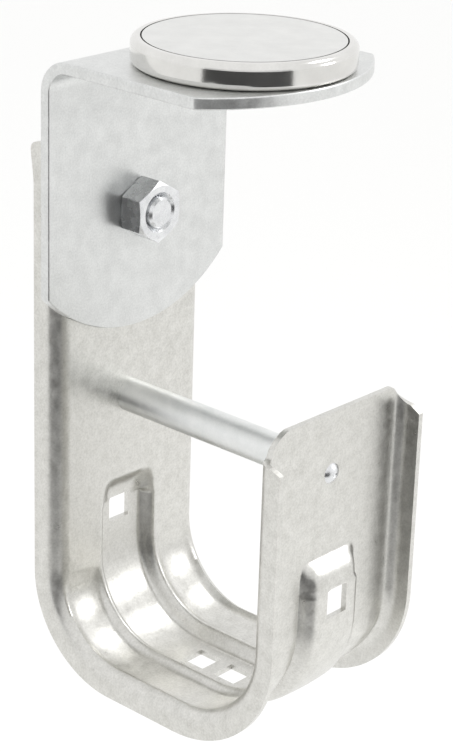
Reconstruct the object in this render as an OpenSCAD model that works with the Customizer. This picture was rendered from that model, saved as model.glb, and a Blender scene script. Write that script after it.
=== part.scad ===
// J hook cable support: a pressed steel hook bolted to an angle bracket
// that hangs from a round cup magnet. Millimetres, +Z up, origin at the
// centre of the magnet's holding face. The cable space opens along X.

/* [Hook sheet] */
// Width of the hook over its side flanges
hook_w = 42.5; // [38:0.5:60]
// Thickness of the hook's sheet
hook_t = 1.2; // [0.9:0.1:1.5]
// Clear distance from the back plate to the front lip
hook_gap = 53.3; // [48:0.1:80]
// Bolt axis down to the cable side of the bottom
hook_drop = 91.8; // [88:0.1:120]
// Bolt axis up to the top edge of the back plate
plate_rise = 15.8; // [12:0.1:25]
// Bolt axis down to the top edge of the front lip
lip_drop = 28.4; // [20:0.1:34]
// Inside radius of the bend at the back plate
rear_bend_r = 16.5; // [14:0.1:18]
// Inside radius of the bend at the front lip
front_bend_r = 19; // [14:0.1:20]

/* [Hook edges] */
// Depth of the side flanges from the cable side of the sheet
flange_depth = 6.4; // [5:0.1:9]
// Outside radius where the sheet turns into its flanges
flange_r = 3.8; // [2.6:0.1:4.4]
// Outline radius of the flange round the rear bend
rear_outline_r = 22; // [16:0.1:24]
// Outline radius of the flange round the front bend
front_outline_r = 25.5; // [16:0.1:26]
// Extra flange depth at the top of the back plate
top_flare = 0.9; // [0:0.1:1.5]
// Width of the cut on each top corner of the lip
lip_corner_w = 3.3; // [1:0.1:5]
// Height of the cut on each top corner of the lip
lip_corner_h = 3.6; // [1:0.1:5]
// Fall of the lip's flange tops for each millimetre outwards
flange_fall = 0.53; // [0:0.01:1]

/* [Channels] */
// Width of the middle channel at the sheet
mid_w = 14.6; // [12:0.1:16]
// Depth of the middle channel
mid_depth = 3; // [1.5:0.1:3.5]
// Bolt axis down to the upper ends of the middle channel
mid_drop = 58.6; // [54:0.1:62]
// Radius of the ramp at each end of the middle channel
mid_ramp_r = 6.5; // [5:0.1:9]
// Depth of the side channels under the bottom
side_depth = 1.6; // [0.8:0.1:2]
// Width of each side channel
side_w = 7.6; // [5:0.1:8]
// Middle of the hook to the middle of each side channel
side_x = 13; // [12.4:0.1:13.4]
// Height of the side channels' rear ends above the bottom
side_rise_rear = 14.5; // [12:0.1:16]
// Height of the side channels' front ends above the bottom
side_rise_front = 17.8; // [14:0.1:19]

/* [Square holes] */
// Side of the square tie holes
tie_hole = 5.7; // [4:0.1:6.5]
// Bolt axis down to the holes in the back plate and lip
tie_drop = 67.8; // [67:0.1:70]
// Back plate to the first hole in the bottom
tie_back = 22.2; // [20:0.1:24]
// Distance between the two holes in the bottom
tie_pitch = 8.7; // [8:0.1:10]

/* [Angle bracket] */
// Width of the bracket
bracket_w = 50; // [44:0.5:60]
// Thickness of the bracket
bracket_t = 2.3; // [1.8:0.1:3]
// Bolt axis up to the top of the bracket
bracket_rise = 34; // [30:0.1:50]
// Bolt axis down to the tip of the leg
leg_drop = 24.9; // [18:0.1:28]
// Back of the leg to the tip of the shelf
shelf_reach = 50.2; // [44:0.1:70]
// Radius of the two arched ends
arch_r = 34.5; // [32:0.5:60]
// Inside radius of the bracket's bend
bracket_bend_r = 4.5; // [2:0.1:6]

/* [Bolt and nuts] */
// Thread diameter of the bolt and the magnet's stud
thread_d = 6.35; // [5:0.05:8]
// Distance across the flats of the hexagons
hex_af = 11.11; // [10:0.01:13]
// Height of the bolt's nut
nut_h = 5.5; // [4:0.1:6.5]
// Height of the jam nut under the bracket's shelf
jam_nut_h = 3.9; // [3:0.1:5.5]
// Height of the bolt's head
head_h = 4; // [3:0.1:4.5]
// Length of thread that stands past a nut
thread_past = 0.5; // [0:0.1:2]
// Radial room round the bolt and the stud in their holes
hole_room = 0.25; // [0.1:0.05:0.5]

/* [Retainer] */
// Bolt axis down to the axis of the retainer tube
tube_drop = 41.2; // [38:0.1:44]
// Outside diameter of the retainer tube
tube_d = 7; // [5:0.1:9]
// Wall of the retainer tube
tube_wall = 1.2; // [0.8:0.1:1.6]
// Diameter of the rivet's shank
rivet_d = 3.2; // [2:0.1:3.2]
// Diameter of the rivet's two heads
rivet_head_d = 4.6; // [4.2:0.1:6]
// Height of the rivet's heads
rivet_head_h = 1.1; // [0.6:0.1:2]
// Radial room round the rivet in the sheet
rivet_room = 0.1; // [0.05:0.05:0.2]

/* [Magnet] */
// Diameter of the magnet's cup
cup_d = 42.7; // [36:0.1:50]
// Height of the cup
cup_h = 5.1; // [4.5:0.1:8]
// Thickness of the cup's floor
cup_floor = 1.6; // [1:0.1:2]
// Thickness of the cup's rim
cup_rim = 1.9; // [1.4:0.1:3]
// Rounding of the cup's outer edges
cup_round = 1.3; // [0.5:0.1:1.6]
// Gap between the magnet disc and the rim
disc_gap = 0.3; // [0.1:0.05:0.5]
// Back of the leg to the magnet's axis
cup_reach = 28.7; // [26:0.1:34]
// Diameter of the stud's flat head inside the cup
stud_head_d = 12; // [9:0.5:16]
// Thickness of the stud's flat head
stud_head_h = 1; // [0.6:0.1:1.2]

/* [Hidden] */
$fn = 64;
// Cutters run this far past what they cut
past = 1;
eps = 0.01;
// Rounding of the flange's top corner on the back plate, and its taper
top_r = 2;
top_taper = 9;
taper_r = 6;
// Walls of the middle channel lean this much, across over deep
wall_lean = 0.5;
mouth_r = hook_t + 0.5;
floor_r = 1.2;
// The side channels are this deep at most, inside the bends
side_bell = 2.3;
// Side channel arcs: half chord over height
side_lean = 0.85;
// The outer skin of a side channel is this much wider each side
side_skin = 0.4;
// Threads are drawn as plain cylinders with this radial room
thread_room = 0.05;
// Room between the stud's head and the magnet disc
disc_room = 0.2;
// Chamfers of the hexagons and thread ends
hex_chamfer = 0.7;
thread_chamfer = 0.5;
nut_mouth = 0.9;
// Dimple in the rivet's front head
dimple_r = 0.7;
dimple_depth = 0.3;

// Places worked out from the sizes above
half_w = hook_w / 2;
rear_z = -hook_drop + rear_bend_r;
front_z = -hook_drop + front_bend_r;
front_y = -hook_gap + front_bend_r;
floor_l = hook_gap - rear_bend_r - front_bend_r;
slab_deep = flange_depth + top_flare + past;
ramp_axis = mid_ramp_r - mid_depth;
ramp_l = sqrt(mid_ramp_r * mid_ramp_r - ramp_axis * ramp_axis);
ramp_z = -mid_drop - ramp_l;
bracket_turn = bracket_bend_r + bracket_t;
bolt_hole_r = thread_d / 2 + hole_room;
nut_bore_r = thread_d / 2 + thread_room;
rivet_hole_r = rivet_d / 2 + rivet_room;
rim_r = cup_d / 2 - cup_rim;
disc_r = rim_r - disc_gap;
disc_h = cup_h - cup_floor;

// Arc that rounds corner b between a and c, as points
function unit(v) = v / norm(v);
function wrap(angle) = angle - 360 * round(angle / 360);
function arc(a, b, c, r, n = 5) =
    let (
        d1 = unit(a - b),
        d2 = unit(c - b),
        half = acos(d1 * d2) / 2,
        centre = b + unit(d1 + d2) * r / sin(half),
        from = b + d1 * r / tan(half) - centre,
        to = b + d2 * r / tan(half) - centre,
        start = atan2(from.y, from.x),
        turn = wrap(atan2(to.y, to.x) - start)
    )
    [for (i = [0:n]) centre + r * [cos(start + turn * i / n), sin(start + turn * i / n)]];

// Cross sections of the hook: x runs across, y away from the cables.
// skin = 0 gives the cable side, skin = hook_t the outside of the sheet.
function slab(skin) =
    let (
        a = half_w - skin,
        r = flange_r - skin,
        left = [-a, skin],
        right = [a, skin],
        deep_left = [-a, slab_deep + skin],
        deep_right = [a, slab_deep + skin]
    )
    concat([deep_left], arc(deep_left, left, right, r), arc(left, right, deep_right, r), [deep_right]);

function mid_channel(skin) =
    let (
        a = mid_w / 2 + skin * (sqrt(1 + wall_lean * wall_lean) - wall_lean),
        b = a - wall_lean * mid_depth,
        out = [-a - mouth_r, skin],
        mouth = [-a, skin],
        foot = [-b, skin + mid_depth],
        half = concat(
            arc(out, mouth, foot, mouth_r - skin),
            arc(mouth, foot, [b, foot.y], floor_r + skin)
        ),
        n = len(half)
    )
    concat(
        [[half[0].x, skin - past]], half,
        [for (i = [n - 1:-1:0]) [-half[i].x, half[i].y]],
        [[-half[0].x, skin - past]]
    );

// A side channel is a bell curve, measured up from its own floor
function side_channel(skin, n = 12) =
    let (a = side_w / 2 + (skin > 0 ? side_skin : 0), top = -side_bell - past)
    concat(
        [[-a, top]],
        [for (i = [-n:n]) [a * i / n, -side_bell * (1 - cos(180 * i / n)) / 2]],
        [[a, top]]
    );

// Moves a part from the bolt's axis at the back of the leg to its place
module place() {
    translate([0, cup_reach, -cup_h - bracket_rise]) children();
}

// Quarter turns of a cross section about an axis along X. The section's
// zero line lies at radius r; from = 0 starts downwards, 90 at the back.
module quarter(pts, r, from) {
    rotate([0, 90, 0])
        rotate([0, 0, from])
            rotate_extrude(angle = 90)
                polygon([for (p = pts) [r + p.y, p.x]]);
}

// A cross section carried down the back plate, along the bottom and up
// the lip, between the heights plate_top and lip_top
module carried(pts, plate_top, lip_top) {
    translate([0, 0, rear_z])
        linear_extrude(plate_top - rear_z)
            polygon(pts);
    translate([0, -rear_bend_r, rear_z])
        quarter(pts, rear_bend_r, 0);
    translate([0, -rear_bend_r, -hook_drop])
        rotate([90, 0, 0])
            linear_extrude(floor_l)
                polygon([for (p = pts) [p.x, -p.y]]);
    translate([0, front_y, front_z])
        quarter(pts, front_bend_r, -90);
    translate([0, -hook_gap, front_z])
        linear_extrude(lip_top - front_z)
            polygon([for (p = pts) [p.x, -p.y]]);
}

module middle_space(skin) {
    pts = mid_channel(skin);
    carried(pts, ramp_z, ramp_z);
    translate([0, -ramp_axis, ramp_z])
        quarter(pts, ramp_axis, 90);
    translate([0, -hook_gap + ramp_axis, ramp_z])
        quarter(pts, ramp_axis, 180);
}

// One side channel: two arcs that sink into the bends, and a flat run
module side_space(skin) {
    pts = side_channel(skin);
    rear_h = side_rise_rear + side_depth;
    front_h = side_rise_front + side_depth;
    rear_r = rear_h * (1 + side_lean * side_lean) / 2;
    front_r = front_h * (1 + side_lean * side_lean) / 2;
    rear_y = -side_lean * rear_h;
    far_y = -hook_gap + side_lean * front_h;
    low = -hook_drop - side_depth;
    translate([0, rear_y, low + rear_r])
        quarter(pts, rear_r + skin, 0);
    translate([0, rear_y, low - skin])
        rotate([90, 0, 0])
            linear_extrude(rear_y - far_y)
                polygon([for (p = pts) [p.x, -p.y]]);
    translate([0, far_y, low + front_r])
        quarter(pts, front_r + skin, -90);
}

module channels(skin) {
    middle_space(skin);
    for (side = [-1, 1])
        translate([side * side_x, 0, 0])
            side_space(skin);
}

// Side view of the hook: the free edges of its flanges
module side_view() {
    back = flange_depth;
    front = -hook_gap - flange_depth;
    low = -hook_drop - flange_depth;
    lip = -lip_drop;
    fall = lip_corner_h - flange_fall * (flange_r - hook_t);
    cut = lip_corner_h + flange_fall * (flange_depth - flange_r);
    top_back = [back + top_flare, plate_rise];
    taper = [back, plate_rise - top_taper];
    rear_low = [back, low];
    front_low = [front, low];
    polygon(concat(
        [[-hook_gap, lip], [-hook_gap - hook_t, lip]],
        [[-hook_gap - hook_t, lip - fall], [front, lip - cut]],
        arc([front, lip], front_low, rear_low, front_outline_r, 12),
        arc(front_low, rear_low, taper, rear_outline_r, 12),
        arc(rear_low, taper, top_back, taper_r),
        arc(taper, top_back, [0, plate_rise], top_r),
        [[-past, plate_rise], [-past, lip]]
    ));
}

module hook() {
    a = tie_hole;
    wall = mid_depth + hook_t + past;
    color([0.80, 0.80, 0.78])
    place()
    difference() {
        intersection() {
            difference() {
                carried(slab(0), plate_rise, -lip_drop);
                channels(0);
                difference() {
                    carried(slab(hook_t), plate_rise + past, past - lip_drop);
                    channels(hook_t);
                }
            }
            rotate([90, 0, 90])
                linear_extrude(hook_w + 2 * past, center = true)
                    side_view();
        }
        // corners of the lip
        for (side = [0, 1])
            mirror([side, 0, 0])
                translate([0, past - hook_gap, 0])
                    rotate([90, 0, 0])
                        linear_extrude(slab_deep + 2 * past)
                            polygon([
                                [half_w - lip_corner_w, -lip_drop],
                                [half_w, -lip_drop - lip_corner_h],
                                [half_w + past, -lip_drop - lip_corner_h],
                                [half_w + past, past - lip_drop],
                                [half_w - lip_corner_w, past - lip_drop]
                            ]);
        // square tie holes
        translate([-a / 2, -hook_gap - wall, -tie_drop - a / 2])
            cube([a, hook_gap + 2 * wall, a]);
        for (hole_y = [-tie_back, -tie_back - tie_pitch])
            translate([-a / 2, hole_y - a / 2, -hook_drop - wall])
                cube([a, a, wall + past]);
        // round holes for the bolt and the rivet
        along_y(-past, hook_t + past, bolt_hole_r);
        translate([0, 0, -tube_drop])
            along_y(-hook_gap - hook_t - past, hook_t + past, rivet_hole_r);
    }
}

// Cylinder along Y between two places
module along_y(from, to, r) {
    translate([0, to, 0])
        rotate([90, 0, 0])
            cylinder(r = r, h = to - from);
}

// Plate across the bracket: flat from y = 0 to the arched end at reach
module arched_plate(reach, from, thick) {
    linear_extrude(thick)
        intersection() {
            translate([-bracket_w / 2, -reach])
                square([bracket_w, reach - from]);
            union() {
                translate([0, arch_r - reach])
                    circle(arch_r, $fn = 180);
                translate([-bracket_w / 2, arch_r - reach])
                    square([bracket_w, reach]);
            }
        }
}

module angle_bracket() {
    color([0.74, 0.75, 0.76])
    place()
    difference() {
        union() {
            rotate([90, 0, 0])
                arched_plate(leg_drop, bracket_turn - bracket_rise, bracket_t);
            translate([0, -bracket_turn, bracket_rise - bracket_turn])
                rotate([0, 90, 0])
                    rotate([0, 0, 90])
                        rotate_extrude(angle = 90, $fn = 96)
                            translate([bracket_bend_r, -bracket_w / 2])
                                square([bracket_t, bracket_w]);
            translate([0, 0, bracket_rise - bracket_t])
                arched_plate(shelf_reach, bracket_turn, bracket_t);
        }
        along_y(-bracket_t - past, past, bolt_hole_r);
        translate([0, -cup_reach, bracket_rise - bracket_t - past])
            cylinder(r = bolt_hole_r, h = bracket_t + 2 * past);
    }
}

// Hexagon about Z with chamfered corners; both = true chamfers each end
module hexagon(h, both) {
    corner_r = hex_af / 2 / cos(30);
    flat_r = hex_af / 2 - 0.1;
    low_r = both ? flat_r : corner_r + past;
    intersection() {
        cylinder(r = corner_r, h = h, $fn = 6);
        rotate_extrude($fn = 96)
            polygon([
                [0, 0], [low_r, 0],
                [corner_r + 0.1, both ? hex_chamfer / 2 : 0],
                [corner_r + 0.1, h - hex_chamfer / 2],
                [flat_r, h], [0, h]
            ]);
    }
}

// Plain shank about Z with a chamfered tip
module shank(r, h) {
    cylinder(r = r, h = h - thread_chamfer);
    translate([0, 0, h - thread_chamfer])
        cylinder(r1 = r, r2 = r - thread_chamfer, h = thread_chamfer);
}

// Nut about Z with a countersunk bore
module nut(h) {
    difference() {
        hexagon(h, true);
        translate([0, 0, -past])
            cylinder(r = nut_bore_r, h = h + 2 * past);
        for (end = [0, 1])
            translate([0, 0, end * h])
                mirror([0, 0, end])
                    translate([0, 0, -eps])
                        cylinder(r1 = nut_bore_r + nut_mouth, r2 = nut_bore_r, h = nut_mouth);
    }
}

// Turns a part that stands on Z so that it points out through the leg
module outwards() {
    rotate([90, 0, 0])
        rotate([0, 0, 30])
            children();
}

module bracket_bolt() {
    color([0.70, 0.71, 0.72])
    place()
    translate([0, hook_t, 0])
        outwards() {
            shank(thread_d / 2, hook_t + bracket_t + nut_h + thread_past);
            mirror([0, 0, 1])
                hexagon(head_h, false);
        }
}

module bracket_nut() {
    color([0.70, 0.71, 0.72])
    place()
    translate([0, -bracket_t, 0])
        outwards()
            nut(nut_h);
}

module retainer_tube() {
    color([0.76, 0.78, 0.78])
    place()
    translate([0, 0, -tube_drop])
        difference() {
            along_y(-hook_gap, 0, tube_d / 2);
            along_y(-hook_gap - past, past, tube_d / 2 - tube_wall);
        }
}

// Rounded rivet head about Z, seated at z = 0
module rivet_head() {
    head_r = rivet_head_d / 2;
    dome_r = (head_r * head_r + rivet_head_h * rivet_head_h) / (2 * rivet_head_h);
    intersection() {
        translate([0, 0, rivet_head_h - dome_r])
            sphere(dome_r);
        cylinder(r = dome_r, h = rivet_head_h + past);
    }
}

module retainer_rivet() {
    dimple_ball = (dimple_r * dimple_r + dimple_depth * dimple_depth) / (2 * dimple_depth);
    color([0.72, 0.73, 0.74])
    place()
    translate([0, 0, -tube_drop]) {
        along_y(-hook_gap - hook_t, hook_t, rivet_d / 2);
        translate([0, hook_t, 0])
            rotate([-90, 0, 0])
                rivet_head();
        translate([0, -hook_gap - hook_t, 0])
            rotate([90, 0, 0])
                difference() {
                    rivet_head();
                    translate([0, 0, rivet_head_h - dimple_depth + dimple_ball])
                        sphere(dimple_ball);
                }
    }
}

module magnet_cup() {
    r = cup_d / 2;
    outer = concat(
        arc([0, -cup_h], [r, -cup_h], [r, 0], cup_round, 8),
        arc([r, -cup_h], [r, 0], [0, 0], cup_round, 8)
    );
    color([0.80, 0.80, 0.79])
        rotate_extrude($fn = 128)
            polygon(concat(
                [[bolt_hole_r, -cup_h]], outer,
                [[rim_r, 0], [rim_r, cup_floor - cup_h], [bolt_hole_r, cup_floor - cup_h]]
            ));
}

module magnet_disc() {
    color([0.86, 0.86, 0.85])
        translate([0, 0, -disc_h])
            difference() {
                cylinder(r = disc_r, h = disc_h, $fn = 128);
                translate([0, 0, -past])
                    cylinder(r = stud_head_d / 2 + disc_room, h = stud_head_h + disc_room + past);
            }
}

// Stud through the cup's floor and the bracket's shelf, pointing down
module magnet_stud() {
    color([0.70, 0.71, 0.72])
    translate([0, 0, cup_floor - cup_h]) {
        mirror([0, 0, 1])
            shank(thread_d / 2, cup_floor + bracket_t + jam_nut_h + thread_past);
        cylinder(r = stud_head_d / 2, h = stud_head_h);
    }
}

module magnet_nut() {
    color([0.70, 0.71, 0.72])
    translate([0, 0, -cup_h - bracket_t])
        mirror([0, 0, 1])
            nut(jam_nut_h);
}

hook();
angle_bracket();
bracket_bolt();
bracket_nut();
retainer_tube();
retainer_rivet();
magnet_cup();
magnet_disc();
magnet_stud();
magnet_nut();
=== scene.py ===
# J hook cable support: the finishes and fine forms over the CAD frame
import math
import bmesh
import bpy
from mathutils import Matrix, Vector


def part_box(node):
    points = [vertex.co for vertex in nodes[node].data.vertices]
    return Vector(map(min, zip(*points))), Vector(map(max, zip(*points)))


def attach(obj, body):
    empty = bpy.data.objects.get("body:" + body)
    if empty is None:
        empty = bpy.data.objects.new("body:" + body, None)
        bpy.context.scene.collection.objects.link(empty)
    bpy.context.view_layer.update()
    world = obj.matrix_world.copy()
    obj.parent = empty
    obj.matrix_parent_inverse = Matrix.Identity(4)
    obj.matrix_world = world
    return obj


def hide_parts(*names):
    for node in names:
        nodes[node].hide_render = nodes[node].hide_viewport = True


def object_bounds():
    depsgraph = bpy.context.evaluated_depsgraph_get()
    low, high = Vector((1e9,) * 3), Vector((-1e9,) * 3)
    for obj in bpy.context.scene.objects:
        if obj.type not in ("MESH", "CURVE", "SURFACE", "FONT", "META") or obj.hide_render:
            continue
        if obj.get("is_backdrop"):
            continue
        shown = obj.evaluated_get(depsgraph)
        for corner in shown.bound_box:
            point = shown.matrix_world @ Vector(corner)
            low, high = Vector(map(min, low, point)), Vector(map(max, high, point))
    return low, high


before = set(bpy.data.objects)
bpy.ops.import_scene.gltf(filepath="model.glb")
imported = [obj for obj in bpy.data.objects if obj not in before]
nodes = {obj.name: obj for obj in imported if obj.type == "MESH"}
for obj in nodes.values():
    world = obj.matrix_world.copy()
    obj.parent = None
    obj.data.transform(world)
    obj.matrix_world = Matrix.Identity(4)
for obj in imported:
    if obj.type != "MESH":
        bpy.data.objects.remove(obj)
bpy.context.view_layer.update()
mm = 0.001
print("frame loaded")


# small helpers

def corners(node):
    # a node's lowest and highest corner, in millimetres
    low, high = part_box(node)
    return low / mm, high / mm


def spread(start, end, step):
    # even stations from start to end, no further apart than step
    count = max(1, math.ceil(abs(end - start) / step - 1e-6))
    return [start + (end - start) * i / count for i in range(count + 1)]


def stations(*runs):
    # runs of (end, step) that follow on from the first number
    found = [runs[0]]
    for end, step in runs[1:]:
        found += spread(found[-1], end, step)[1:]
    return found


def blank(columns, rows, place):
    # a flat sheet of faces whose corners are pressed into place
    bm = bmesh.new()
    across, along = len(columns) - 1, len(rows) - 1
    bmesh.ops.create_grid(bm, x_segments=across, y_segments=along, size=1)
    for v in bm.verts:
        column = columns[round((v.co.x + 1) / 2 * across)]
        row = rows[round((v.co.y + 1) / 2 * along)]
        v.co = place(column, row)
    bmesh.ops.reverse_faces(bm, faces=bm.faces)
    return bm


def pierce(bm, centre, half, radius=0.0):
    # takes out the faces round centre, and rounds the hole if it has a radius
    def near(p, room):
        return all(abs(a - b) < h + room for a, b, h in zip(p, centre, half))
    gone = [f for f in bm.faces if near(f.calc_center_median(), 0)]
    bmesh.ops.delete(bm, geom=gone, context="FACES")
    if radius:
        for v in bm.verts:
            if v.is_boundary and near(v.co, 0.01):
                v.co = Vector(centre) + (v.co - Vector(centre)).normalized() * radius


def addPiece(name, bm, material, slot, *replaced):
    # millimetres to metres, then a smooth piece that rides on the part
    bmesh.ops.scale(bm, vec=(mm, mm, mm), verts=bm.verts)
    mesh = bpy.data.meshes.new(name)
    bm.to_mesh(mesh)
    bm.free()
    mesh.polygons.foreach_set("use_smooth", [True] * len(mesh.polygons))
    mesh.materials.append(material)
    piece = bpy.data.objects.new(name, mesh)
    bpy.context.collection.objects.link(piece)
    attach(piece, "root")
    if replaced:
        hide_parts(*replaced)
    return piece


def thicken(piece, thickness, edge):
    # sheet metal: one skin, its thickness, and softly broken cut edges
    wall = piece.modifiers.new("thickness", "SOLIDIFY")
    wall.thickness = thickness * mm
    wall.offset = -1
    wall.use_even_offset = True
    wall.use_quality_normals = True
    soft = piece.modifiers.new("cutEdges", "BEVEL")
    soft.width = edge * mm
    soft.segments = 2
    soft.limit_method = "ANGLE"
    soft.angle_limit = math.radians(50)
    soft.harden_normals = True


def softMax(value, room):
    # the larger of value and 0, with a rounded corner
    h = max(room - abs(value), 0) / room
    return max(value, 0) + h * h * room / 4


def softMin(a, b, room):
    # the smaller of a and b, with a rounded corner
    return a - softMax(a - b, room)


# materials

def linear(hexColour):
    # sRGB hex to linear light
    parts = [int(hexColour[i:i + 2], 16) / 255 for i in (1, 3, 5)]
    return [p / 12.92 if p <= 0.04045 else ((p + 0.055) / 1.055) ** 2.4 for p in parts] + [1]


def addNode(tree, kind, settings={}, links={}):
    # one node, its settings, and what feeds its sockets
    node = tree.nodes.new(kind)
    for key, value in settings.items():
        if isinstance(key, int) or key in node.inputs:
            node.inputs[key].default_value = value
        else:
            setattr(node, key, value)
    for key, socket in links.items():
        tree.links.new(socket, node.inputs[key])
    return node


def newMaterial(name, shader):
    material = bpy.data.materials.new(name)
    material.use_nodes = True
    tree = material.node_tree
    tree.nodes.clear()
    out = addNode(tree, "ShaderNodeOutputMaterial")
    bsdf = addNode(tree, "ShaderNodeBsdfPrincipled", shader)
    tree.links.new(bsdf.outputs[0], out.inputs[0])
    place = addNode(tree, "ShaderNodeTexCoord").outputs["Object"]
    return material, tree, bsdf, place


def zincFinish(name, look):
    # zinc: soft clouds in tone and gloss, fine grit, and a slight orange peel
    material, tree, bsdf, place = newMaterial(name, {
        "Metallic": look["metallic"], "Roughness": look["roughness"],
    })
    cloud = addNode(tree, "ShaderNodeTexNoise", {
        "Scale": 1 / (look["cloud"] * mm), "Detail": 5, "Roughness": 0.62,
    }, {"Vector": place})
    grit = addNode(tree, "ShaderNodeTexNoise", {
        "Scale": 1 / (look["grit"] * mm), "Detail": 3, "Roughness": 0.6,
    }, {"Vector": place})
    stretch = addNode(tree, "ShaderNodeMapping", {"Scale": (1, 1, look["drawn"])}, {"Vector": place})
    peel = addNode(tree, "ShaderNodeTexNoise", {
        "Scale": 1 / (look["peel"] * mm), "Detail": 3, "Roughness": 0.5,
    }, {"Vector": stretch.outputs[0]})
    mixed = addNode(tree, "ShaderNodeMix", {"data_type": "FLOAT", 0: look["gritShare"]}, {
        2: cloud.outputs["Fac"], 3: grit.outputs["Fac"],
    })
    tone = addNode(tree, "ShaderNodeMapRange", {
        "From Min": 0.36, "From Max": 0.64,
    }, {"Value": mixed.outputs[0]})
    colour = addNode(tree, "ShaderNodeMix", {
        "data_type": "RGBA", 6: linear(look["dark"]), 7: linear(look["light"]),
    }, {0: tone.outputs[0]})
    gloss = addNode(tree, "ShaderNodeMapRange", {
        "From Min": 0.3, "From Max": 0.7,
        "To Min": look["roughness"] - look["patchy"], "To Max": look["roughness"] + look["patchy"],
    }, {"Value": cloud.outputs["Fac"]})
    fine = addNode(tree, "ShaderNodeBump", {
        "Strength": look["gritBump"], "Distance": 0.03 * mm,
    }, {"Height": grit.outputs["Fac"]})
    waves = addNode(tree, "ShaderNodeBump", {
        "Strength": look["peelBump"], "Distance": 0.1 * mm,
    }, {"Height": peel.outputs["Fac"], "Normal": fine.outputs[0]})
    tree.links.new(colour.outputs[2], bsdf.inputs["Base Color"])
    tree.links.new(gloss.outputs[0], bsdf.inputs["Roughness"])
    tree.links.new(waves.outputs[0], bsdf.inputs["Normal"])
    return material


# hot dipped galvanised steel sheet: a slightly warm grey, cloudy, satin
galvanisedSheet = zincFinish("galvanisedSheet", {
    "metallic": 1.0, "roughness": 0.33, "patchy": 0.06,
    "light": "#E3E2DE", "dark": "#C9C8C3",
    "cloud": 2.6, "grit": 0.45, "gritShare": 0.5, "peel": 1.1, "drawn": 0.6,
    "gritBump": 0.5, "peelBump": 0.3,
})
# electroplated zinc on flat plate: cooler and smoother than dipped sheet
zincPlate = zincFinish("zincPlate", {
    "metallic": 1.0, "roughness": 0.34, "patchy": 0.05,
    "light": "#E4E5E4", "dark": "#D1D2D1",
    "cloud": 3.2, "grit": 0.4, "gritShare": 0.5, "peel": 1.4, "drawn": 0.7,
    "gritBump": 0.4, "peelBump": 0.2,
})
# bright zinc on turned and cold formed fasteners: smooth, with a crisp shine
zincHardware = zincFinish("zincHardware", {
    "metallic": 1.0, "roughness": 0.27, "patchy": 0.04,
    "light": "#ECEDEE", "dark": "#D8D9DB",
    "cloud": 2.0, "grit": 0.25, "gritShare": 0.3, "peel": 0.8, "drawn": 1.0,
    "gritBump": 0.15, "peelBump": 0.15,
})
# drawn tube with a dull zinc coat: faint cool grey
zincTube = zincFinish("zincTube", {
    "metallic": 1.0, "roughness": 0.42, "patchy": 0.04,
    "light": "#F0F1F0", "dark": "#E2E4E3",
    "cloud": 4.0, "grit": 0.3, "gritShare": 0.25, "peel": 0.9, "drawn": 1.0,
    "gritBump": 0.2, "peelBump": 0.1,
})
# nickel plated steel pot: a mirror that is only a little soft
nickelCup = zincFinish("nickelCup", {
    "metallic": 1.0, "roughness": 0.14, "patchy": 0.02,
    "light": "#E6E5E2", "dark": "#DAD9D6",
    "cloud": 10.0, "grit": 0.5, "gritShare": 0.2, "peel": 2.0, "drawn": 1.0,
    "gritBump": 0.05, "peelBump": 0.06,
})
# ground and plated magnet face: pale and satin
magnetPlate = zincFinish("magnetPlate", {
    "metallic": 1.0, "roughness": 0.34, "patchy": 0.03,
    "light": "#E6E6E4", "dark": "#DBDBD9",
    "cloud": 6.0, "grit": 0.35, "gritShare": 0.25, "peel": 1.6, "drawn": 1.0,
    "gritBump": 0.1, "peelBump": 0.04,
})
print("materials made")


# the pressed hook

hook = {
    "sheet": 1.2, "edge": 0.22,
    "flange": 6.4, "edgeRoom": 0.22, "topFlare": 0.9, "taper": 9.0, "topRound": 2.0,
    "fold": 3.8,
    "ridgeSoft": 0.4,       # where a side channel meets the fold
    "gap": 53.3, "rearBend": 16.5, "frontBend": 19.0,
    "rearOutline": 22.0, "frontOutline": 25.5,
    "lipDrop": 44.2,        # top of the back plate down to the lip's top
    "cornerWide": 3.3, "cornerHigh": 3.6, "flangeFall": 0.53, "cornerRun": 16.0,
    "leftStart": 13.0, "leftEnd": 18.3, "leftHigh": 4.5, "leftRound": 1.5, "leftFall": 0.38,
    "boltDrop": 15.8, "boltHole": 3.425,
    "tubeDrop": 57.0, "rivetHole": 1.7,
    "tieDrop": 83.6, "tieHole": 5.7, "tieBack": 22.2, "tiePitch": 8.7,
}
middleChannel = {
    "half": 7.3, "deep": 3.0, "wall": 2.0,
    "rampRadius": 6.5, "rampStraight": 5.0, "rearStart": 80.9, "frontStart": 80.4,
    "mouthSoft": 1.4, "floorSoft": 1.1, "dish": 0.35, "rearCorner": 6.5, "frontCorner": 3.5,
}
sideChannel = {
    "inner": 8.6, "outer": 18.9, "wall": 1.6, "deep": 1.6, "end": 0.8,
    "riseRear": 14.0, "riseFront": 14.6, "endRun": 3.0, "soft": 1.2, "dish": 0.6,
    "reach": 9.0,           # nothing of a channel lies this far past the bends
}

hookLow, hookHigh = corners("hook")
plateFace = hookHigh.y - hook["flange"] - hook["topFlare"]    # cable side of the back plate
hookTop = hookHigh.z
hookFloor = hookLow.z + hook["flange"]
hookHalf = hookHigh.x
foldStart = hookHalf - hook["fold"]
rearZ = hookFloor + hook["rearBend"]
frontZ = hookFloor + hook["frontBend"]
frontY = hook["gap"] - hook["frontBend"]                      # distances from the back plate
lipTop = hookTop - hook["lipDrop"]

# lengths along the sheet at which one run hands over to the next
bendOn = hookTop - rearZ
bendOff = bendOn + hook["rearBend"] * math.pi / 2
riseOn = bendOff + frontY - hook["rearBend"]
riseOff = riseOn + hook["frontBend"] * math.pi / 2
lipEnd = riseOff + lipTop - frontZ


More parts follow.
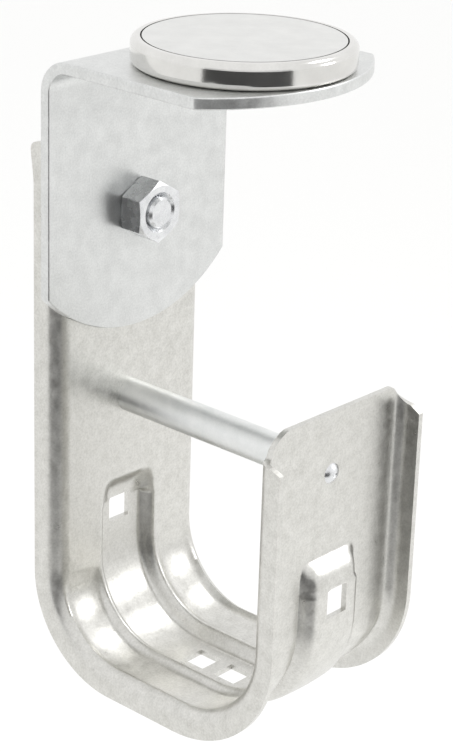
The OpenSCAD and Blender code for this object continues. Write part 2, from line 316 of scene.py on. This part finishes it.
def along(s):
    # distance from the back plate, height, and the way that faces out of the hook
    if s <= bendOn:
        return 0, hookTop - s, -1, 0
    if s <= bendOff:
        a = (s - bendOn) / hook["rearBend"]
        r = hook["rearBend"]
        return r - r * math.cos(a), rearZ - r * math.sin(a), -math.cos(a), -math.sin(a)
    if s <= riseOn:
        return hook["rearBend"] + s - bendOff, hookFloor, 0, -1
    if s <= riseOff:
        a = (s - riseOn) / hook["frontBend"]
        r = hook["frontBend"]
        return frontY + r * math.sin(a), frontZ - r * math.cos(a), math.sin(a), -math.cos(a)
    return hook["gap"], frontZ + s - riseOff, 1, 0


def flangeDepth(s):
    # the flange's free edge turns on its own radii round the two bends
    deep = hook["flange"]
    if s < hook["taper"]:
        rise = 1 - s / hook["taper"]
        deep += hook["topFlare"] * rise * rise * (3 - 2 * rise)
        if s < hook["topRound"]:
            r = hook["topRound"]
            deep -= r - math.sqrt(r * r - (r - s) ** 2)
    for on, off, r, outline in (
        (bendOn, bendOff, hook["rearBend"], hook["rearOutline"]),
        (riseOn, riseOff, hook["frontBend"], hook["frontOutline"]),
    ):
        if on < s < off:
            a = (s - on) / r
            shift = hook["flange"] + r - outline
            lean = shift * (math.cos(a) + math.sin(a))
            across = shift * (math.cos(a) - math.sin(a))
            deep = lean + math.sqrt(outline ** 2 - across ** 2) - r
    return deep - hook["edgeRoom"]


def middleDepth(x, s):
    # a trough with leaning walls, whose floor ramps up at each end
    c = middleChannel
    rear = s < (bendOff + riseOn) / 2
    if rear:
        past = c["rearStart"] - s
    else:
        past = s - riseOff - (hookTop - c["frontStart"] - frontZ)
    level = (c["half"] - abs(x)) * c["wall"]
    if past > 0:
        r = c["rampRadius"]
        curved = min(past, c["rampStraight"])
        ramp = c["deep"] + math.sqrt(r * r - curved * curved) - r
        ramp -= (past - curved) * curved / math.sqrt(r * r - curved * curved)
        level = softMin(level, ramp, c["rearCorner"] if rear else c["frontCorner"])
    floor = c["deep"] - c["dish"] * (x / c["half"]) ** 2
    return softMax(softMin(level, floor, c["floorSoft"]), c["mouthSoft"])


def sideDepth(x, s):
    # a broad trough between the middle channel and the flange, with a short rise at each end
    c = sideChannel
    x = abs(x)
    if x < c["inner"] - 1 or s < bendOn - c["reach"] or s > riseOff + c["reach"]:
        return 0
    y, z, ny, nz = along(s)
    rear = y < (hook["rearBend"] + frontY) / 2
    top = hookFloor + (c["riseRear"] if rear else c["riseFront"])
    floor = c["end"] + (c["deep"] - c["end"]) * min(1, max(0, -nz))
    middle, half = (c["inner"] + c["outer"]) / 2, (c["outer"] - c["inner"]) / 2
    floor -= c["dish"] * min(1, abs(x - middle) / half) ** 2
    ends = (top - z) * c["deep"] / c["endRun"]
    walls = min(x - c["inner"], c["outer"] - x) * c["wall"]
    return softMax(softMin(softMin(ends, walls, c["soft"] * 2), floor, c["soft"]), c["soft"] * 0.6)


def hookPoint(column, s):
    side = -1 if column < 0 else 1
    c = abs(column)
    deep = flangeDepth(s)
    if c <= foldStart:
        x, n = c, 0
        n += middleDepth(c, s) + sideDepth(c, s)
    elif c <= foldStart + 1:
        a = (c - foldStart) * math.pi / 2
        x = foldStart + hook["fold"] * math.sin(a)
        n = hook["fold"] * (1 - math.cos(a))
        n += softMax(sideDepth(x, s) - n, hook["ridgeSoft"])
    else:
        x = hookHalf
        n = hook["fold"] + (c - foldStart - 1) * (deep - hook["fold"])
    y, z, ny, nz = along(s)
    y, z = y + ny * n, z + nz * n
    # the lip's two top corners are cut, each its own way
    run = hook["cornerRun"]
    if s > lipEnd - run:
        if side > 0:
            cut = max(0, (x - hookHalf + hook["cornerWide"]) * hook["cornerHigh"] / hook["cornerWide"])
            fall = hook["flangeFall"]
        else:
            u = (x - hook["leftStart"]) / (hook["leftEnd"] - hook["leftStart"])
            u = min(max(u, 0), 1)
            p = hook["leftRound"]
            cut = hook["leftHigh"] * (1 - (1 - u ** p) ** (1 / p))
            fall = hook["leftFall"]
        cut += max(0, n - hook["fold"]) * fall if c > foldStart + 1 else 0
        z -= cut * (s - lipEnd + run) / run
    return side * x, plateFace - y, z


half = hook["tieHole"] / 2
columns = stations(0, (half, 1), (8.6, 0.42), (foldStart, 0.5), (foldStart + 1, 0.125), (foldStart + 2, 0.34))
columns = [-c for c in columns[:0:-1]] + columns
boltBlock, rivetBlock = 3.7, 1.9
rivetFront = riseOff + lipTop + hook["lipDrop"] - hook["tubeDrop"] - frontZ
tieFront = riseOff + lipTop + hook["lipDrop"] - hook["tieDrop"] - frontZ
tieFloor = [bendOff + hook["tieBack"] - hook["rearBend"] + i * hook["tiePitch"] for i in (0, 1)]
rows = stations(
    0, (2, 0.25), (9, 1), (hook["boltDrop"] - boltBlock, 2), (hook["boltDrop"] + boltBlock, 0.95),
    (hook["tubeDrop"] - rivetBlock, 4), (hook["tubeDrop"] + rivetBlock, 0.95),
    (68, 4), (hook["tieDrop"] - half, 0.7), (hook["tieDrop"] + half, 0.72), (bendOn, 0.7),
    (bendOff, 0.74), (tieFloor[0] - half, 0.72), (tieFloor[0] + half, 0.72),
    (tieFloor[1] - half, 0.75), (tieFloor[1] + half, 0.72), (riseOn, 0.75), (riseOff, 0.75),
    (tieFront - half, 0.72), (tieFront + half, 0.72), (riseOff + 17, 0.7),
    (rivetFront - rivetBlock, 4), (rivetFront + rivetBlock, 0.95), (lipEnd, 0.6),
)
bm = blank(columns, rows, hookPoint)
boltZ, tubeZ, tieZ = (hookTop - hook[k] for k in ("boltDrop", "tubeDrop", "tieDrop"))
deepY = middleChannel["deep"]
pierce(bm, (0, plateFace, boltZ), (boltBlock, 1, boltBlock), hook["boltHole"])
for y in (plateFace, plateFace - hook["gap"]):
    pierce(bm, (0, y, tubeZ), (rivetBlock, 1, rivetBlock), hook["rivetHole"])
for y in (plateFace + deepY, plateFace - hook["gap"] - deepY):
    pierce(bm, (0, y, tieZ), (half, 1, half))
for i in (0, 1):
    y = plateFace - hook["tieBack"] - i * hook["tiePitch"]
    pierce(bm, (0, y, hookFloor - deepY), (half, half, 1))
hookPiece = addPiece("hook_sheet", bm, galvanisedSheet, "galvanised_sheet", "hook")
thicken(hookPiece, hook["sheet"], hook["edge"])
print("hook sheet pressed")


# the arched angle bracket

bracket = {
    "plate": 2.3, "edge": 0.3, "bend": 4.5, "arch": 34.5, "archRun": 14.0, "hole": 3.425,
    "block": 3.7,           # half the patch of small faces round a hole
    "legDrop": 58.9,        # top of the shelf down to the leg's tip
    "boltDrop": 34.0,
}
bracketLow, bracketHigh = corners("angle_bracket")
legBack = bracketHigh.y
shelfTop = bracketHigh.z
shelfTip = legBack - bracketLow.y
turn = bracket["bend"] + bracket["plate"]
cupLow, cupHigh = corners("magnet_cup")
cupCentre = (cupLow + cupHigh) / 2
bracketOn = bracket["legDrop"] - turn
bracketOff = bracketOn + turn * math.pi / 2
bracketEnd = bracketOff + shelfTip - turn


def bracketPoint(x, s):
    # s runs from the leg's tip up the back, round the bend and along the top
    arch = bracket["arch"] - math.sqrt(bracket["arch"] ** 2 - x * x)
    run = bracket["archRun"]
    if s < run:
        s += arch * (1 - s / run)
    elif s > bracketEnd - run:
        s -= arch * (1 - (bracketEnd - s) / run)
    if s <= bracketOn:
        return x, legBack, shelfTop - bracket["legDrop"] + s
    if s <= bracketOff:
        a = (s - bracketOn) / turn
        return x, legBack - turn + turn * math.cos(a), shelfTop - turn + turn * math.sin(a)
    return x, legBack - turn - (s - bracketOff), shelfTop


boltS = bracket["legDrop"] - bracket["boltDrop"]
studS = bracketOff + legBack - turn - cupCentre.y
block = bracket["block"]
columns = stations(0, (block, 0.95), (bracketHigh.x, 1.1))
columns = [-c for c in columns[:0:-1]] + columns
rows = stations(
    0, (bracket["archRun"], 2), (boltS - block, 4), (boltS + block, 0.95), (bracketOn, 4), (bracketOff, 0.7),
    (studS - block, 4), (studS + block, 0.95), (bracketEnd - bracket["archRun"], 4), (bracketEnd, 2),
)
bm = blank(columns, rows, bracketPoint)
pierce(bm, (0, legBack, shelfTop - bracket["boltDrop"]), (block, 1, block), bracket["hole"])
pierce(bm, (0, cupCentre.y, shelfTop), (block, block, 1), bracket["hole"])
bracketPiece = addPiece("arched_bracket", bm, zincPlate, "zinc_plate", "angle_bracket")
thicken(bracketPiece, bracket["plate"], bracket["edge"])
print("bracket bent")


# finishes on the nodes that keep their own form

for node, material in {
    "bracket_bolt": zincHardware, "bracket_nut": zincHardware,
    "retainer_tube": zincTube, "retainer_rivet": zincHardware,
    "magnet_cup": nickelCup, "magnet_disc": magnetPlate,
    "magnet_stud": zincHardware, "magnet_nut": zincHardware,
}.items():
    mesh = nodes[node].data
    mesh.materials.clear()
    mesh.materials.append(material)
print("nodes finished")


# studio

studio = {
    "floorDrop": 250.0, "floorSize": 8000.0, "floor": "#FAFAF9",
    "lens": 105.2, "camera": (-299.90, -266.83, 94.07),
    "azimuth": -48.141, "elevation": 21.975, "roll": 1.847,
    "sky": 1.02,
    "card": "#3E3E3E", "cardSize": (1100.0, 420.0), "cardPlace": (-44, -18, 560),
    "aim": (0, 0, -75),
}
# plain pale floor: matt paint
floorMaterial = newMaterial("paleFloor", {
    "Roughness": 0.9, "Base Color": linear(studio["floor"]),
})[0]
bm = bmesh.new()
bmesh.ops.create_grid(bm, x_segments=1, y_segments=1, size=studio["floorSize"] * mm / 2)
floorZ = hookLow.z - studio["floorDrop"]
bmesh.ops.translate(bm, vec=(0, 0, floorZ * mm), verts=bm.verts)
mesh = bpy.data.meshes.new("floor")
bm.to_mesh(mesh)
bm.free()
mesh.materials.append(floorMaterial)
floor = bpy.data.objects.new("floor", mesh)
bpy.context.collection.objects.link(floor)
floor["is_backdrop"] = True

world = bpy.data.worlds.new("studio")
bpy.context.scene.world = world
world.use_nodes = True
world.node_tree.nodes["Background"].inputs[0].default_value = (1, 1, 1, 1)
world.node_tree.nodes["Background"].inputs[1].default_value = studio["sky"]

aim = Vector(studio["aim"])


def towards(azimuth, elevation, distance):
    a, e = math.radians(azimuth), math.radians(elevation)
    return aim + distance * Vector((math.sin(a) * math.cos(e), -math.cos(a) * math.cos(e), math.sin(e)))


def addLight(name, azimuth, elevation, distance, size, power):
    light = bpy.data.lights.new(name, "AREA")
    light.shape = "RECTANGLE"
    light.size, light.size_y = (v * mm for v in size)
    light.energy = power
    lamp = bpy.data.objects.new(name, light)
    bpy.context.collection.objects.link(lamp)
    place = towards(azimuth, elevation, distance)
    lamp.location = place * mm
    lamp.rotation_euler = (aim - place).to_track_quat("-Z", "Y").to_euler()


# two soft boxes on the right: one low in front, one high
addLight("lowBox", 43, 18, 700, (130, 110), 0.55)
addLight("highBox", 74, 52, 700, (150, 120), 0.75)

# a dark card on the camera's side that only reflections see
cardMaterial = newMaterial("darkCard", {"Roughness": 1.0, "Base Color": linear(studio["card"])})[0]
bm = bmesh.new()
bmesh.ops.create_grid(bm, x_segments=1, y_segments=1, size=0.5)
wide, high = studio["cardSize"]
bmesh.ops.scale(bm, vec=(wide * mm, high * mm, 1), verts=bm.verts)
place = towards(*studio["cardPlace"])
turned = (aim - place).to_track_quat("Z", "Y").to_matrix().to_4x4()
bmesh.ops.transform(bm, matrix=Matrix.Translation(place * mm) @ turned, verts=bm.verts)
mesh = bpy.data.meshes.new("darkCard")
bm.to_mesh(mesh)
bm.free()
mesh.materials.append(cardMaterial)
card = bpy.data.objects.new("darkCard", mesh)
bpy.context.collection.objects.link(card)
card.visible_camera = False
card.visible_diffuse = False
card.visible_shadow = False
card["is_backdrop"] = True

camera = bpy.data.objects.new("camera", bpy.data.cameras.new("camera"))
bpy.context.collection.objects.link(camera)
camera.data.lens = studio["lens"]
camera.data.clip_start, camera.data.clip_end = 0.01, 20
turned = Matrix.Rotation(math.radians(studio["azimuth"]), 4, "Z")
turned @= Matrix.Rotation(math.radians(90 - studio["elevation"]), 4, "X")
turned @= Matrix.Rotation(math.radians(studio["roll"]), 4, "Z")
camera.matrix_world = Matrix.Translation(Vector(studio["camera"]) * mm) @ turned
bpy.context.scene.camera = camera
bpy.context.scene.view_settings.view_transform = "Standard"
print("studio ready")

low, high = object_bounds()
